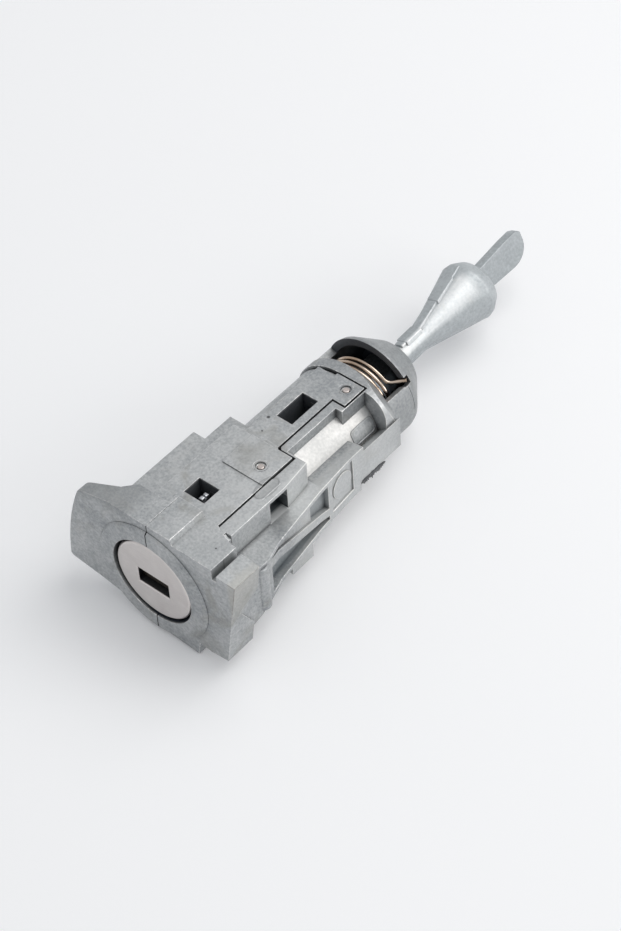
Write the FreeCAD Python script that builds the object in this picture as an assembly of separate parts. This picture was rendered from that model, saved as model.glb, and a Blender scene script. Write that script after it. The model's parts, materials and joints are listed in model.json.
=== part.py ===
import FreeCAD, Part

import math
import os

Vector = FreeCAD.Vector

# A door lock cylinder. All sizes are in millimetres.
# The turning axis is Y. The key face looks toward -Y, the tail points toward +Y, and Z is up.
# The origin is the centre of the key slot on the front of the face cap.

# Face cap and key slot
cap_radius = 11.8
cap_thickness = 0.5
cap_skirt = 2.6
cap_edge_round = 0.9
slot_width = 9.8
slot_height = 4.9
slot_drop = 0.75
slot_edge_break = 0.25
cap_gap = 0.6
crimp_gap = 0.03

# Bezel and flange
bezel_radius = 17.2
bezel_proud = 0.4
bezel_edge = 0.6
flange_front = 0.3
flange_depth = 8.8
flange_top = 19.4
flange_top_end = 7.3
flange_top_start = -1.0
flange_top_rear = 11.9
pad_left = 7.9
pad_right = 20.0
pad_top = 17.9
pad_rear = 11.6
pad_rear_corner = 12.3
pad_rear_bend = 15.4
pad_rear_bend_y = 10.1
pad_right_rear = 8.6
end_groove_width = 1.3
end_groove_floor = 14.6
end_top = 16.2
end_top_rise = 0.4
end_reach = 27.0
end_bottom = -13.6
end_lean = 4.8
end_facet_depth = 1.1
end_facet_front = 3.2
end_facet_point = 3.8
end_facet_top = 7.2
end_facet_bottom = -7.0
flange_bottom = -17.3
flange_bottom_drop = 1.0
flange_bottom_corner = 12.4
bottom_notch_width = 4.4
bottom_notch_height = 4.6
bottom_notch_drop = 0.6
bottom_notch_slant = 0.8
wing_reach = 27.4
wing_low_corner = -8.6
wing_low_start = 18.5
wing_low_rise = 6.1
wing_bow = 25.4
wing_bow_height = 5.6
wing_top_reach = 21.4
wing_top_drop = 1.2
wing_top_start = 12.5
wing_root = 13.0
wing_forward = 1.0
wing_tip_thickness = 2.2
wing_rear_root = 10.0
wing_rear_drop = 3.2
wing_rear_middle = 23.3
wing_rear_middle_y = 2.0
wing_top_round = 2.2
wing_low_round = 1.4

# Housing body
barrel_radius = 13.4
plate_top = 15.0
plate_left = 8.3
plate_right = 10.4
plate_end = 40.0
plate_pad_start = 29.0
plate_pad_height = 0.35
plate_pad_inset = 6.0
plate_corner_break = 1.2
plate_split = 12.2
plate_split_start = 12.1
rear_plate_top = 14.2
rear_plate_left = 5.2
rear_plate_right = 4.7
rear_tab_start = 61.5
rear_tab_right = 8.6
rear_tab_wall = 0.8
rear_tab_front_wall = 2.0
left_half_end = 69.0
seam_gap = 0.5
strip_right = 15.0
strip_end = 32.0
nose_right = 13.9
strip_notch_left = 13.3
strip_notch_start = 10.9
strip_notch_end = 12.7
strip_notch_floor = 12.6
nose_end = 41.0
ledge_top = 12.0
ledge_left = 16.5
ledge_end = 34.2
ledge_step_left = 12.8
ledge_step_end = 43.5
ledge_bottom = -8.0
keel_half_width = 7.0
keel_bottom = -14.2
keel_start = 16.0
keel_end = 64.0
side_lug_right = 17.5
side_lug_bottom = -12.8
side_lug_start = 29.5
side_lug_length = 7.8

# Side rail with its two triangular pockets on the right half
rail_top = 7.4
rail_bottom = -6.9
rail_front_reach = 22.0
rail_front = 17.2
rail_neck_reach = 20.4
rail_neck = 22.6
rail_mid_reach = 17.7
rail_mid = 41.0
rail_rear_reach = 16.6
rail_rear = 54.0
rail_step = 57.0
rail_step_slant = 0.6
rail_rear_bottom = -3.9
rail_end = 72.6
rail_fall_start = 42.0
rail_fall_inner = 11.7
rail_fall_low = 6.5
rail_groove_start = 58.5
rail_groove_inner = 13.0
rail_groove_floor = 2.9
rail_groove_edge = 6.0
rail_rib = 1.3
rail_slant_low = 2.6
rail_slant_high = 1.6
rail_pocket_depth = 2.4
rail_pocket_pad_depth = 0.6
rail_pocket_pad_end = 36.9
rail_pocket_rear_depth = 1.5
rail_pocket_end = 44.0
gusset_drop = 3.4
gusset_middle = 13.6
gusset_middle_drop = 2.1
rail_pad_radius = 3.8
rail_pad_y = 50.0
rail_pad_z = 1.3
rail_pad_front = 45.6
rail_pad_rear = 54.2
rail_pad_bottom = -4.2
rail_pad_top = 6.2
rail_pad_relief = 0.5
rail_pad_proud = 0.35
wall_pocket_start = 26.3
wall_pocket_length = 6.2
wall_pocket_depth = 3.6
wall_pocket_roof = 1.2
recess_wall_x = 7.4
recess_rear_end = 68.0
collar_side = 16.0
collar_corner = 6.6
collar_land_end = 69.0
collar_land_radius = 18.7
collar_end = 73.2
collar_end_radius = 14.4
collar_offset = 0.9

# Windows in the top plate
front_window_width = 6.3
front_window_length = 5.4
front_window_start = 16.5
rear_window_width = 4.9
rear_window_length = 9.7
rear_window_start = 49.1
rear_window_floor = 5.0

# Rear cup
cup_radius = 14.1
cup_inner_radius = 11.9
cup_floor = 68.4
cup_straight_end = 81.4
cup_shoulder = 82.9
cup_shoulder_radius = 13.7
cup_cone_end = 89.9
cup_nose_radius = 8.0
cup_end = 90.5
cup_edge = 0.7
cup_end_wall = 3.2
cup_wall = 1.9
notch_start = 72.8
notch_length = 8.6
notch_right_angle = 57.6
notch_left_angle = 66.0
leg_slot_width = 2.1
leg_slot_angle = 54.5
leg_slot_length = 1.6
leg_end_radius = 13.7
leg_end_in = 0.75

# Rivets
rivet_radius = 0.9
rivet_recess_radius = 1.8
rivet_recess_depth = 0.45
rivet_head_height = 0.3
rivet_head_round = 0.24
rivet_depth = 4.0
front_rivet_x = 6.1
front_rivet_y = 33.4
rear_rivet_x = 5.3
rear_rivet_y = 66.0
rivet_gap = 0.03

# Plug
head_length = 8.4
plug_radius = 7.2
plug_tail = 3.2
tang_width = 12.0
tang_height = 5.0
tang_length = 3.6
tang_round_gap = 0.4
keyway_width = 9.4
keyway_height = 3.5
seal_depth = 1.2
seal_width = 1.8
seal_start = 4.2
seal_gap = 0.1
seat_gap = 0.1
bore_gap = 0.06

# Key shutter in the plug head
shutter_pivot_y = 2.2
shutter_pivot_z = 3.5
shutter_pin_radius = 0.6
shutter_knuckle_radius = 1.05
shutter_thickness = 0.8
shutter_width = 10.4
shutter_drop = 6.1
shutter_pocket_side = 0.5
shutter_spring_wire = 0.35
shutter_spring_turns_length = 1.6
shutter_pin_gap = 0.05
shutter_pin_inset = 2.0
shutter_spring_gap = 0.1
shutter_spring_side_gap = 0.2

# Wafers
wafer_count = 8
wafer_thickness = 1.0
wafer_pitch = 2.8
wafer_first = 1.6
wafer_half_width = 6.1
wafer_half_height = 3.0
wafer_travel = 0.7
wafer_ear_width = 1.2
wafer_ear_height = 1.3
wafer_gap = 0.08
wafer_spring_radius = 0.45
wafer_spring_room = 2.2

# Freewheel sleeve and its catch
sleeve_radius = 9.4
sleeve_start_gap = 0.3
sleeve_groove_depth = 1.1
sleeve_groove_wall = 0.4
sleeve_groove_gap = 0.24
catch_left = 0.1
catch_nib_width = 1.3
catch_nib_start = 17.6
catch_nib_length = 2.6
catch_nib_top = 13.9
catch_foot_height = 1.3
catch_lift = 0.1
catch_edge_round = 0.45
catch_groove_width = 0.5
catch_groove_depth = 0.7

# Coupler and its spring
coupler_gap = 0.3
coupler_length = 8.0
coupler_travel = 3.0
coupler_slot_gap = 0.6
driver_tang_overlap = 3.0
coupler_spring_radius = 8.4
coupler_spring_wall = 1.2

# Driver
driver_flange_length = 2.4
driver_neck_radius = 6.0
driver_anchor_radius = 10.7
driver_anchor_length = 2.0
driver_arbor_radius = 8.6
driver_hub_radius = 6.0
driver_hub_end_gap = 0.5
driver_bore_radius = 3.6
driver_bore_depth = 12.0

# Return spring
spring_wire = 1.05
spring_mean_radius = 10.0
spring_pitch = 1.62
spring_quarter_turns = 16
spring_bend_radius = 1.4
spring_front_leg = 1.2
spring_end_lag = 8.0
spring_hole_gap = 0.08

# Tail rod
rod_radius = 2.75
rod_front_gap = 0.6
rod_pin_radius = 1.0
rod_pin_y = 83.0
rod_pin_gap = 0.05
rod_hole_radius = 3.9
rod_lean = 3.6
cone_start = 100.5
cone_radius = 8.5
cone_full = 120.6
cone_end = 125.0
cone_end_radius = 6.0
cone_rim = 1.4
cone_rim_draft = 0.2
cone_end_chamfer = 1.0
cone_end_chamfer_length = 0.6
web_thickness = 2.9
web_proud = 0.45
web_start = 94.0
blade_root_half_width = 3.45
blade_half_width = 4.2
blade_wide = 137.8
blade_end = 143.6
blade_corner_width = 4.8
blade_corner_steps = 6
blade_small_corner = 0.9
blade_tilt = -68.0
rod_pad_start = 95.5
rod_pad_length = 6.0
cone_pad_start = 109.5
cone_pad_length = 7.5
pad_extra_width = 0.5
pad_proud = 0.15

# Reach of the tools that cut: past the face they open, and right through the body
over = 1.0
far = 60.0
edge_tolerance = 0.01

# Places along the axis that follow from the sizes above
head_front = cap_thickness
head_end = head_front + head_length
plug_end = head_end + wafer_first + (wafer_count - 1) * wafer_pitch + plug_tail
sleeve_start = head_end + sleeve_start_gap
sleeve_end = plug_end
coupler_start = sleeve_end + coupler_gap
coupler_end = coupler_start + coupler_length
driver_tang_start = coupler_end - driver_tang_overlap
driver_flange_start = coupler_end + coupler_travel + coupler_spring_wall + seat_gap
driver_flange_end = driver_flange_start + driver_flange_length
bore_end = driver_flange_end + seat_gap
front_bore_end = head_end + seat_gap
front_bore_radius = cap_radius + cap_gap
main_bore_radius = sleeve_radius + bore_gap
neck_bore_radius = driver_neck_radius + bore_gap
anchor_start = cup_floor + coupler_gap
anchor_end = anchor_start + driver_anchor_length
spring_start = anchor_end + spring_wire / 2 + seat_gap + spring_front_leg
spring_end = spring_start + spring_pitch * spring_quarter_turns / 4
cup_inner_end = cup_end - cup_end_wall
hub_end = cup_inner_end - driver_hub_end_gap
rod_front = hub_end - driver_bore_depth + rod_front_gap
flange_rear = flange_front + flange_depth
cup_start = left_half_end
notch_end = notch_start + notch_length
head_radius = cap_radius - cap_thickness - crimp_gap


def box(x0, x1, y0, y1, z0, z1):
    return Part.makeBox(x1 - x0, y1 - y0, z1 - z0, Vector(x0, y0, z0))


def rod_y(radius, y0, y1, x=0.0, z=0.0):
    return Part.makeCylinder(radius, y1 - y0, Vector(x, y0, z), Vector(0, 1, 0))


def rod_x(radius, x0, x1, y, z):
    return Part.makeCylinder(radius, x1 - x0, Vector(x0, y, z), Vector(1, 0, 0))


def rod_z(radius, z0, z1, x, y):
    return Part.makeCylinder(radius, z1 - z0, Vector(x, y, z0), Vector(0, 0, 1))


def face_of(points):
    return Part.Face(Part.makePolygon(points + points[:1]))


def prism_y(outline, y0, y1):
    """Solid whose outline is given as (x, z) and which runs from y0 to y1."""
    return face_of([Vector(x, y0, z) for x, z in outline]).extrude(Vector(0, y1 - y0, 0))


def prism_z(outline, z0, z1):
    """Solid whose outline is given as (x, y) and which runs from z0 to z1."""
    return face_of([Vector(x, y, z0) for x, y in outline]).extrude(Vector(0, 0, z1 - z0))


def prism_x(outline, x0, x1):
    """Solid whose outline is given as (y, z) and which runs from x0 to x1."""
    return face_of([Vector(x0, y, z) for y, z in outline]).extrude(Vector(x1 - x0, 0, 0))


def turned(profile):
    """Solid of revolution about Y from (radius, y) points."""
    return face_of([Vector(r, y, 0) for r, y in profile]).revolve(Vector(0, 0, 0), Vector(0, 1, 0), 360)


def fuse(shapes):
    return shapes[0].multiFuse(shapes[1:]).removeSplitter()


def cut(shape, tools):
    return shape.cut(Part.makeCompound(tools)).removeSplitter()


def solid_of(shape):
    """The largest solid of a result, which is its only one where the sizes fit."""
    return max(shape.Solids, key=lambda s: s.Volume)


def save(name, shape):
    shape.exportStep("parts/" + name + ".step")
    facts = (name, len(shape.Solids), shape.Volume, shape.isValid())
    print("%-22s solids %d  volume %9.2f  valid %s" % facts)


def flange_outline():
    """The flange from the front, from the wing's top corner round to its low corner."""
    low = flange_bottom
    corner = flange_bottom - flange_bottom_drop
    return [
        (-wing_top_reach, flange_top - wing_top_drop),
        (-wing_top_start, flange_top),
        (flange_top_end, flange_top),
        (pad_left, pad_top),
        (pad_right, pad_top),
        (pad_right, end_groove_floor),
        (pad_right + end_groove_width, end_groove_floor),
        (pad_right + end_groove_width, end_top + end_top_rise),
        (end_reach, end_top),
        (end_reach - end_lean, end_bottom),
        (flange_bottom_corner + bottom_notch_width, end_bottom - bottom_notch_drop),
        (flange_bottom_corner + bottom_notch_slant, corner + bottom_notch_height),
        (flange_bottom_corner, corner),
        (0, low),
        (-wing_rear_root, low + wing_rear_drop),
        (-wing_low_start, low + wing_low_rise),
        (-wing_reach, wing_low_corner),
    ]


def flange_face():
    """The flange's outline as a face; the wing's outer edge is one bowed arc."""
    points = [Vector(x, -wing_forward - over, z) for x, z in flange_outline()]
    edges = [Part.LineSegment(p, q).toShape() for p, q in zip(points[:-1], points[1:])]
    bow = Part.Arc(points[-1], Vector(-wing_bow, -wing_forward - over, wing_bow_height), points[0])
    return Part.Face(Part.Wire(edges + [bow.toShape()]))


def flange_plan():
    """The flange from above: the left wing sweeps forward and thins to its tip."""
    tip = -wing_reach - over
    return [
        (end_reach + over, flange_front),
        (-wing_root, flange_front),
        (tip, -wing_forward),
        (tip, -wing_forward + wing_tip_thickness),
        (-wing_rear_middle, wing_rear_middle_y),
        (-wing_root, flange_rear - wing_rear_drop),
        (-wing_rear_root, flange_rear),
        (end_reach + over, flange_rear),
    ]


def round_wing(body):
    """Rounds the wing's top and low corners, whose edges run along Y."""
    for x, z, radius in (
        (-wing_top_reach, flange_top - wing_top_drop, wing_top_round),
        (-wing_reach, wing_low_corner, wing_low_round),
    ):
        edge = [e for e in body.Edges
                if e.BoundBox.XLength < edge_tolerance and e.BoundBox.ZLength < edge_tolerance
                and math.hypot(e.BoundBox.XMin - x, e.BoundBox.ZMin - z) < edge_tolerance]
        body = body.makeFillet(radius, edge)
    return body


def flange():
    body = flange_face().extrude(Vector(0, flange_rear + wing_forward + over, 0))
    body = round_wing(body).common(prism_z(flange_plan(), -far, far))
    top = prism_y([
        (flange_top_start, 0),
        (pad_left, 0),
        (pad_left, pad_top),
        (flange_top_end, flange_top),
        (flange_top_start, flange_top),
    ], flange_rear - over, flange_top_rear)
    pad = prism_z([
        (flange_top_start, flange_front),
        (pad_right, flange_front),
        (pad_right, pad_right_rear),
        (pad_rear_bend, pad_rear_bend_y),
        (pad_rear_corner, pad_rear),
        (flange_top_start, pad_rear),
    ], 0, pad_top)
    bezel = turned([
        (0, -bezel_proud),
        (bezel_radius - bezel_edge, -bezel_proud),
        (bezel_radius, -bezel_proud + bezel_edge),
        (bezel_radius, flange_rear),
        (0, flange_rear),
    ])
    keep = box(-bezel_radius, bezel_radius, -bezel_proud, flange_rear, flange_bottom, flange_top)
    return fuse([body, top, pad, bezel.common(keep)])


def end_facet():
    """Three-cornered facet on the slanted right end of the flange, deepest at its rear edge."""
    low_end = end_reach - end_lean
    wedge = face_of([
        Vector(low_end, end_facet_front, end_bottom),
        Vector(low_end - end_facet_depth, flange_rear + over, end_bottom),
        Vector(far, flange_rear + over, end_bottom),
        Vector(far, end_facet_front, end_bottom),
    ]).extrude(Vector(end_lean, 0, end_top - end_bottom))
    return prism_x([
        (end_facet_front, end_facet_point),
        (flange_rear + over, end_facet_bottom - over),
        (flange_rear + over, end_facet_top + over),
    ], 0, far).common(wedge)


def rail_outline(inset):
    """The side rail from above, with its outer edge moved inward by inset."""
    return [
        (0, flange_rear - over),
        (rail_front_reach - inset, flange_rear - over),
        (rail_front_reach - inset, rail_front),
        (rail_neck_reach - inset, rail_neck),
        (rail_mid_reach - inset, rail_mid),
        (rail_rear_reach - inset, rail_rear),
        (rail_rear_reach - inset, rail_end),
        (0, rail_end),
    ]


def rail():
    """Side rail from the flange to the cup; it drops to a gusset in front and steps up behind.

    Its top falls toward the barrel, and behind the rear tab a groove leaves only its outer edge.
    """
    side = prism_x([
        (flange_rear - over, rail_bottom - gusset_drop),
        (gusset_middle, rail_bottom - gusset_middle_drop),
        (rail_front, rail_bottom),
        (rail_step, rail_bottom),
        (rail_step + rail_step_slant, rail_rear_bottom),
        (rail_end, rail_rear_bottom),
        (rail_end, rail_top),
        (flange_rear - over, rail_top),
    ], 0, end_reach)
    fall = prism_y([
        (0, rail_fall_low),
        (rail_fall_inner, rail_fall_low),
        (rail_rear_reach, rail_top),
        (rail_rear_reach, rail_top + over),
        (0, rail_top + over),
    ], rail_fall_start, rail_groove_start)
    groove = prism_y([
        (0, rail_groove_floor),
        (rail_groove_inner, rail_groove_floor),
        (rail_rear_reach, rail_groove_edge),
        (rail_rear_reach + over, rail_groove_edge),
        (rail_rear_reach + over, rail_top + over),
        (0, rail_top + over),
    ], rail_groove_start, rail_end + over)
    return cut(side.common(prism_z(rail_outline(0), end_bottom, end_top)), [fall, groove])


def rail_skin(depth):
    """The outer layer of the rail's side, as deep as given."""
    whole = prism_z(rail_outline(-over), rail_bottom - gusset_drop, rail_top)
    return whole.cut(prism_z(rail_outline(depth), end_bottom, end_top))


def rail_pockets():
    """Two long triangular pockets that leave a slanted rib between them.

    The upper one is shallow over a bare raised pad and deeper behind it.
    """
    front = rail_front + rail_rib
    rear = rail_pocket_end
    high = rail_top - rail_rib
    low = rail_bottom + rail_rib
    rib_rear = low + rail_slant_low
    rib_front = high - rail_slant_high
    upper = prism_x([(front, high), (rear, high), (rear, rib_rear + rail_rib)], 0, end_reach)
    lower = prism_x([
        (front, rib_front - rail_rib),
        (rear, rib_rear - rail_rib),
        (rear, low),
        (front, low),
    ], 0, end_reach)
    behind_pad = box(0, end_reach, rail_pocket_pad_end, rear, rail_bottom, rail_top)
    return [
        upper.common(rail_skin(rail_pocket_pad_depth)),
        upper.common(behind_pad).common(rail_skin(rail_pocket_rear_depth)),
        lower.common(rail_skin(rail_pocket_depth)),
    ]


def rail_pad():
    """Square relief behind the pockets that leaves a round bare pad standing in it."""
    relief = box(0, end_reach, rail_pad_front, rail_pad_rear, rail_pad_bottom, rail_pad_top)
    relief = relief.common(rail_skin(rail_pad_relief))
    pad = rod_x(rail_pad_radius, 0, end_reach, rail_pad_y, rail_pad_z)
    return relief.cut(pad.cut(rail_skin(rail_pad_relief - rail_pad_proud)))


def upper_body():
    front = box(-plate_left, strip_right, flange_rear - over, strip_end, 0, plate_top)
    nose = prism_z([
        (0, strip_end - over),
        (strip_right, strip_end - over),
        (strip_right, strip_end),
        (nose_right, nose_end),
        (0, nose_end),
    ], 0, plate_top)
    left = box(-plate_left, 0, strip_end - over, plate_end, 0, plate_top)
    pad = box(-plate_left + plate_pad_inset, plate_right, plate_pad_start, plate_end,
              0, plate_top + plate_pad_height)
    rear = box(-rear_plate_left, recess_wall_x, plate_end - over, recess_rear_end, 0, rear_plate_top)
    tab = box(0, rear_tab_right + rear_tab_wall, rear_tab_start - rear_tab_front_wall, left_half_end,
              0, rear_plate_top)
    ledge = box(-ledge_left, 0, flange_rear - over, ledge_end, ledge_bottom, ledge_top)
    step = box(-ledge_step_left, 0, ledge_end - over, ledge_step_end, ledge_bottom, ledge_top)
    return [front, nose, left, pad, rear, tab, ledge, step]


def lower_body():
    keel = box(-keel_half_width, keel_half_width, keel_start, keel_end, keel_bottom, 0)
    lug = box(0, side_lug_right, side_lug_start, side_lug_start + side_lug_length, side_lug_bottom, 0)
    return [keel, lug]


def cup():
    """Barrel, the collar on the right half, and the cup that narrows in a cone to its end."""
    barrel = rod_y(barrel_radius, flange_rear - over, cup_start + over)
    end = turned([
        (0, cup_start),
        (cup_radius, cup_start),
        (cup_radius, cup_straight_end),
        (cup_shoulder_radius, cup_shoulder),
        (cup_nose_radius, cup_cone_end),
        (cup_nose_radius - cup_edge, cup_end),
        (0, cup_end),
    ])
    return [barrel, collar(), end]


def collar():
    """Body behind the side recess: full height at the recess wall, then it falls round to the cup."""
    block = box(0, collar_side, recess_rear_end, collar_end, rail_rear_bottom, rear_plate_top)
    corner = [e for e in block.Edges
              if abs(e.BoundBox.XMin - collar_side) < edge_tolerance
              and abs(e.BoundBox.ZMin - rear_plate_top) < edge_tolerance]
    block = block.makeFillet(collar_corner, corner)
    slope = (collar_land_radius - collar_end_radius) / (collar_end - collar_land_end)
    start = recess_rear_end - over
    start_radius = collar_land_radius + slope * (collar_land_end - start)
    shoulder = Part.makeCone(start_radius, collar_end_radius, collar_end - start,
                             Vector(collar_offset, start, -collar_offset), Vector(0, 1, 0))
    return block.common(shoulder)


def cup_inside():
    """The cup's hollow; its cone runs beside the outer one with the wall between them."""
    fall = (cup_shoulder_radius - cup_nose_radius) / (cup_cone_end - cup_shoulder)
    wall_across = cup_wall * math.hypot(1, fall)
    straight_end = cup_shoulder + (cup_shoulder_radius - wall_across - cup_inner_radius) / fall
    rear_radius = cup_inner_radius - fall * (cup_inner_end - straight_end)
    return turned([
        (0, cup_floor),
        (cup_inner_radius, cup_floor),
        (cup_inner_radius, straight_end),
        (rear_radius, cup_inner_end),
        (0, cup_inner_end),
    ])


def notch():
    """The open window over the return spring, cut square to the axis and opened about the top."""
    right = far * math.tan(math.radians(90 - notch_right_angle))
    left = far * math.tan(math.radians(90 - notch_left_angle))
    return prism_y([(0, 0), (far, right), (far, far), (-far, far), (-far, left)],
                   notch_start, notch_end)


def leg_slot():
    """Small slot in the rear rim of the notch that holds the spring's rear leg."""
    half = leg_slot_width / 2
    slot = box(-half, half, notch_end - over, notch_end + leg_slot_length,
               spring_mean_radius, cup_radius + over)
    slot.rotate(Vector(0, 0, 0), Vector(0, 1, 0), leg_slot_angle)
    return slot


def cavity():
    return fuse([
        rod_y(front_bore_radius, -bezel_proud - over, front_bore_end),
        rod_y(main_bore_radius, front_bore_end - over, bore_end),
        rod_y(neck_bore_radius, bore_end - over, cup_floor + over),
        cup_inside(),
        rod_y(rod_hole_radius, cup_inner_end - over, cup_end + over),
    ])


def windows():
    front = box(-front_window_width / 2, front_window_width / 2, front_window_start,
                front_window_start + front_window_length, 0, plate_top + 2 * over)
    rear = box(-rear_window_width / 2, rear_window_width / 2, rear_window_start,
               rear_window_start + rear_window_length, rear_window_floor, plate_top + 2 * over)
    return [front, rear]


def strip_notch():
    """Small gap between the flange's pad and the start of the strip."""
    return box(strip_notch_left, pad_right, strip_notch_start, strip_notch_end,
               strip_notch_floor, flange_top)


def wall_pocket():
    return box(strip_right - wall_pocket_depth, strip_right + over, wall_pocket_start,
               wall_pocket_start + wall_pocket_length, rail_top, plate_top - wall_pocket_roof)


def rivet_places():
    return [
        (front_rivet_x, front_rivet_y, plate_top + plate_pad_height),
        (rear_rivet_x, rear_rivet_y, rear_plate_top),
    ]


def rivet_cuts():
    cuts = []
    for x, y, top in rivet_places():
        cuts.append(rod_z(rivet_recess_radius, top - rivet_recess_depth, top + over, x, y))
        cuts.append(rod_z(rivet_radius + rivet_gap, top - rivet_depth - seat_gap, top, x, y))
    return cuts


def outer_body():
    return fuse([flange(), rail()] + upper_body() + lower_body() + cup())


def whole_housing():
    tools = [cavity(), notch(), leg_slot(), end_facet(), strip_notch(), wall_pocket(), rail_pad()]
    tools = tools + rail_pockets() + windows() + rivet_cuts()
    return cut(outer_body(), tools)


def left_side(gap):
    """Everything on the left half's side of the joint; gap widens the top plate's edges."""
    side = box(-far, 0, -far, left_half_end + gap, -far, far)
    plate = prism_z([
        (-over, plate_split_start),
        (plate_right + gap, plate_split_start),
        (plate_right + gap, plate_end + gap),
        (rear_plate_right + plate_corner_break + gap, plate_end + gap),
        (rear_plate_right + gap, plate_end + plate_corner_break + gap),
        (rear_plate_right + gap, rear_tab_start - gap),
        (rear_tab_right + gap, rear_tab_start - gap),
        (rear_tab_right + gap, left_half_end + gap),
        (-over, left_half_end + gap),
    ], plate_split, far)
    return fuse([side, plate])


def housing_left(housing):
    return solid_of(housing.common(left_side(0)))


def housing_right(housing):
    return solid_of(housing.cut(left_side(seam_gap).cut(seam_face())).cut(left_side(0)))


def seam_face():
    """Band in which the two halves meet face to face instead of standing apart."""
    return box(0, far, -far, left_half_end + over, -far, plate_split)


def rivets():
    solids = []
    for x, y, top in rivet_places():
        shank = rod_z(rivet_radius, top - rivet_depth, top - rivet_recess_depth + rivet_head_height, x, y)
        edge = [e for e in shank.Edges if abs(e.BoundBox.ZMin - shank.BoundBox.ZMax) < edge_tolerance]
        solids.append(shank.makeFillet(rivet_head_round, edge))
    return Part.makeCompound(solids)


def face_cap():
    shell = rod_y(cap_radius, 0, cap_skirt)
    rim = [e for e in shell.Edges if e.BoundBox.YMax < edge_tolerance]
    shell = shell.makeFillet(cap_edge_round, rim)
    inside = rod_y(cap_radius - cap_thickness, cap_thickness, cap_skirt + over)
    inside_rim = [e for e in inside.Edges if e.BoundBox.YMax < cap_thickness + edge_tolerance]
    inside = inside.makeFillet(cap_edge_round - cap_thickness / 2, inside_rim)
    slot = box(-slot_width / 2, slot_width / 2, -over, cap_skirt,
               -slot_height / 2 - slot_drop, slot_height / 2 - slot_drop)
    flare = slot_edge_break
    mouth = Part.makeLoft([
        Part.makePolygon([Vector(x * (slot_width / 2 + f), y, z * (slot_height / 2 + f) - slot_drop)
                          for x, z in ((-1, -1), (1, -1), (1, 1), (-1, 1), (-1, -1))])
        for y, f in ((-edge_tolerance, flare), (flare, 0))
    ], True)
    return solid_of(cut(shell, [inside, slot, mouth]))


def shutter_pocket_depth():
    return shutter_pivot_y + shutter_drop + shutter_pocket_side


def plug_head():
    head = rod_y(head_radius, head_front, head_end)
    rim = [e for e in head.Edges if e.BoundBox.YMax < head_front + edge_tolerance]
    head = head.makeFillet(cap_edge_round, rim)
    groove = rod_y(head_radius + over, seal_start, seal_start + seal_width + 2 * seat_gap)
    groove = groove.cut(rod_y(head_radius - seal_depth, 0, head_end))
    rear_step = rod_y(head_radius + over, cap_skirt, head_end).cut(rod_y(head_radius, 0, head_end + over))
    return cut(head, [groove, rear_step])


def shutter_pocket():
    side = shutter_width / 2 + shutter_pocket_side
    top = shutter_pivot_z + shutter_knuckle_radius + shutter_pocket_side
    bottom = shutter_pivot_z - shutter_drop - shutter_pocket_side
    end = min(shutter_pocket_depth(), head_end + wafer_first - wafer_thickness)
    return box(-side, side, head_front - over, end, bottom, top)


def wafer_places():
    return [head_end + wafer_first + i * wafer_pitch for i in range(wafer_count)]


def wafer_side(index):
    """Wafers are sprung to the right and to the left by turns."""
    return 1 if index % 2 == 0 else -1


def wafer_slots():
    slots = []
    half = wafer_thickness / 2 + wafer_gap
    high = wafer_half_height + wafer_gap
    ear_top = wafer_half_height + wafer_ear_height + wafer_gap
    for index, y in enumerate(wafer_places()):
        side = wafer_side(index)
        slots.append(box(-plug_radius - over, plug_radius + over, y - half, y + half, -high, high))
        ends = sorted([side * (wafer_ear_width / 2 + wafer_travel + wafer_gap),
                       -side * (wafer_ear_width / 2 + wafer_spring_room)])
        slots.append(box(ends[0], ends[1], y - half, y + half, 0, ear_top))
    return slots


def plug():
    body = rod_y(plug_radius, head_end - over, plug_end)
    tang = box(-tang_width / 2, tang_width / 2, plug_end - over, plug_end + tang_length,
               -tang_height / 2, tang_height / 2)
    tang = tang.common(rod_y(plug_radius - tang_round_gap, plug_end - over, plug_end + tang_length))
    keyway = box(-keyway_width / 2, keyway_width / 2, head_front, plug_end - plug_tail / 2,
                 -keyway_height / 2, keyway_height / 2)
    half = head_radius - shutter_pin_inset
    pin = rod_x(shutter_pin_radius + shutter_pin_gap, -half, half, shutter_pivot_y, shutter_pivot_z)
    tools = [keyway, shutter_pocket(), pin] + wafer_slots()
    return solid_of(cut(fuse([plug_head(), body, tang]), tools))


def face_seal():
    outer = front_bore_radius - seal_gap
    start = seal_start + seat_gap
    ring = rod_y(outer, start, start + seal_width)
    return ring.cut(rod_y(head_radius - seal_depth + crimp_gap, 0, head_end))


def key_shutter():
    flap = box(-shutter_width / 2, shutter_width / 2, shutter_pivot_y - shutter_thickness / 2,
               shutter_pivot_y + shutter_thickness / 2, shutter_pivot_z - shutter_drop, shutter_pivot_z)
    knuckle = rod_x(shutter_knuckle_radius, -shutter_width / 2, shutter_width / 2,
                    shutter_pivot_y, shutter_pivot_z)
    bore = rod_x(shutter_pin_radius + shutter_pin_gap, -shutter_width, shutter_width,
                 shutter_pivot_y, shutter_pivot_z)
    room = shutter_knuckle_radius + shutter_spring_gap
    side = shutter_spring_turns_length / 2 + shutter_spring_side_gap
    spring_room = box(-side, side, shutter_pivot_y - room, shutter_pivot_y + room,
                      shutter_pivot_z - room, shutter_pivot_z + room)
    return solid_of(cut(fuse([flap, knuckle]), [bore, spring_room]))


def shutter_pin():
    half = head_radius - shutter_pin_inset - seat_gap
    return rod_x(shutter_pin_radius, -half, half, shutter_pivot_y, shutter_pivot_z)


def shutter_spring():
    half = shutter_spring_turns_length / 2
    inner = shutter_pin_radius + shutter_pin_gap
    coil = rod_x(inner + shutter_spring_wire, -half, half, shutter_pivot_y, shutter_pivot_z)
    return coil.cut(rod_x(inner, -half - over, half + over, shutter_pivot_y, shutter_pivot_z))


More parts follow.
